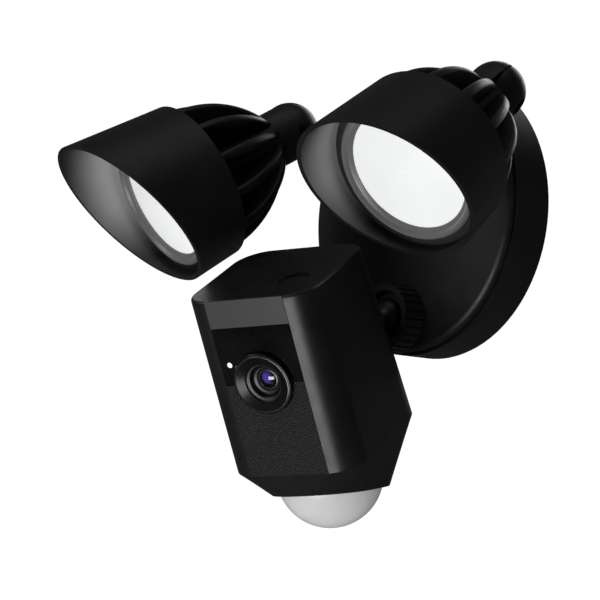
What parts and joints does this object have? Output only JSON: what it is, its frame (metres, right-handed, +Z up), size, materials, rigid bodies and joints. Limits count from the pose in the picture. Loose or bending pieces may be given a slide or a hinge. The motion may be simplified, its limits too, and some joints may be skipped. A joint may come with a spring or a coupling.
{
  "type": "floodlight security camera",
  "caption": "Round wall-mounted floodlight security camera: two hooded lights on jointed arms and a swivelling camera head with a domed motion sensor under it.",
  "frame": {"origin": "centre of the base's back face, on the wall", "axes": "+Y into the wall, -Y out towards the room or yard, +X to the right seen from the front, +Z up"},
  "size_m": [0.2546, 0.1886, 0.2419],
  "materials": {
    "black_plastic": "satin black moulded case",
    "black_cover": "satin black cover",
    "black_gloss": "gloss black window",
    "black_aluminium": "black anodised, satin",
    "rubber_black": "matt rubber",
    "nylon_dark": "dark nylon",
    "steel": "plain steel",
    "galvanised": "plated sheet",
    "diffuser": "frosted white diffuser",
    "sensor_dome": "milky white sensor dome",
    "camera_glass": "coated lens",
    "board_green": "solder mask",
    "led_board": "white solder mask with emitters",
    "component_dark": "moulded components",
    "terminal_green": "moulded terminal block",
    "sensor_white": "white light pipe"
  },
  "bodies": {
    "base": {"wall_gasket": "rubber_black", "mounting_bracket": "galvanised", "base_housing": "black_cover", "wire_grommet": "rubber_black", "bracket_screws": "steel", "driver_board": "board_green", "driver_components": "component_dark", "terminal_block": "terminal_green", "cover_seal": "rubber_black", "base_cover": "black_cover", "cover_screws": "steel"},
    "camera_ring": {"camera_lock_ring": "nylon_dark"},
    "camera_seat": {"camera_ball_seat": "nylon_dark"},
    "camera": {"camera_ball_stud": "black_plastic", "camera_shell": "black_plastic", "camera_skirt": "black_plastic", "pir_dome": "sensor_dome", "pir_sensor": "component_dark", "faceplate": "black_plastic", "window_panel": "black_gloss", "speaker_grille": "black_plastic", "light_sensor": "sensor_white", "lens_bezel": "black_gloss", "lens_cone": "nylon_dark", "lens_glass": "camera_glass", "lens_barrel": "black_aluminium", "main_board": "board_green", "infrared_lamps": "component_dark", "speaker_driver": "component_dark", "button_switch": "component_dark", "case_screws": "steel"},
    "button": {"setup_button": "black_plastic"},
    "right_turret": {"right_turret": "black_plastic", "right_turret_nut": "steel", "right_arm_pin": "steel"},
    "right_arm": {"right_arm": "black_aluminium"},
    "right_light": {"right_shade": "black_plastic", "right_lens": "diffuser", "right_lens_ring": "black_plastic", "right_lens_seal": "rubber_black", "right_led_board": "led_board", "right_heat_sink": "black_aluminium", "right_neck": "black_aluminium", "right_friction_washer": "nylon_dark", "right_knuckle_bolt": "steel"},
    "left_turret": {"left_turret": "black_plastic", "left_turret_nut": "steel", "left_arm_pin": "steel"},
    "left_arm": {"left_arm": "black_aluminium"},
    "left_light": {"left_shade": "black_plastic", "left_lens": "diffuser", "left_lens_ring": "black_plastic", "left_lens_seal": "rubber_black", "left_led_board": "led_board", "left_heat_sink": "black_aluminium", "left_neck": "black_aluminium", "left_friction_washer": "nylon_dark", "left_knuckle_bolt": "steel"}
  },
  "joints": [
    {"name": "camera_lock_ring_turn", "type": "hinge", "parent": "base", "child": "camera_ring", "pos_m": [0, -0.0337, -0.0564], "axis": [0, -1, 0], "range_deg": [-30, 90]},
    {"name": "camera_swivel", "type": "hinge", "parent": "base", "child": "camera_seat", "pos_m": [0, -0.0337, -0.0564], "axis": [0, -1, 0], "range_deg": [-45, 45]},
    {"name": "camera_tilt", "type": "hinge", "parent": "camera_seat", "child": "camera", "pos_m": [0, -0.0337, -0.0564], "axis": [-1, 0, 0], "range_deg": [-10, 10]},
    {"name": "setup_button_press", "type": "slide", "parent": "camera", "child": "button", "axis": [-0.0589, 0.4632, -0.8843], "range_m": [0, 0.001], "stiffness_N_per_m": 400, "springref_m": -0.0008},
    {"name": "right_turret_turn", "type": "hinge", "parent": "base", "child": "right_turret", "pos_m": [0.052, -0.036, 0.0361], "axis": [0, 1, 0], "range_deg": [-25, 10]},
    {"name": "right_arm_fold", "type": "hinge", "parent": "right_turret", "child": "right_arm", "pos_m": [0.052, -0.036, 0.0361], "axis": [0.7624, 0, -0.6471], "range_deg": [-4, 6]},
    {"name": "right_light_tilt", "type": "hinge", "parent": "right_arm", "child": "right_light", "pos_m": [0.07037, -0.03941, 0.05775], "axis": [-0.6963, -0.5031, 0.5118], "range_deg": [-3, 70]},
    {"name": "left_turret_turn", "type": "hinge", "parent": "base", "child": "left_turret", "pos_m": [-0.052, -0.036, 0.0361], "axis": [0, -1, 0], "range_deg": [-45, 15]},
    {"name": "left_arm_fold", "type": "hinge", "parent": "left_turret", "child": "left_arm", "pos_m": [-0.052, -0.036, 0.0361], "axis": [0.5201, 0, 0.8541], "range_deg": [-40, 6]},
    {"name": "left_light_tilt", "type": "hinge", "parent": "left_arm", "child": "left_light", "pos_m": [-0.05837, -0.06361, 0.03998], "axis": [-0.9745, 0.2243, -0.0046], "range_deg": [-12, 60]}
  ]
}
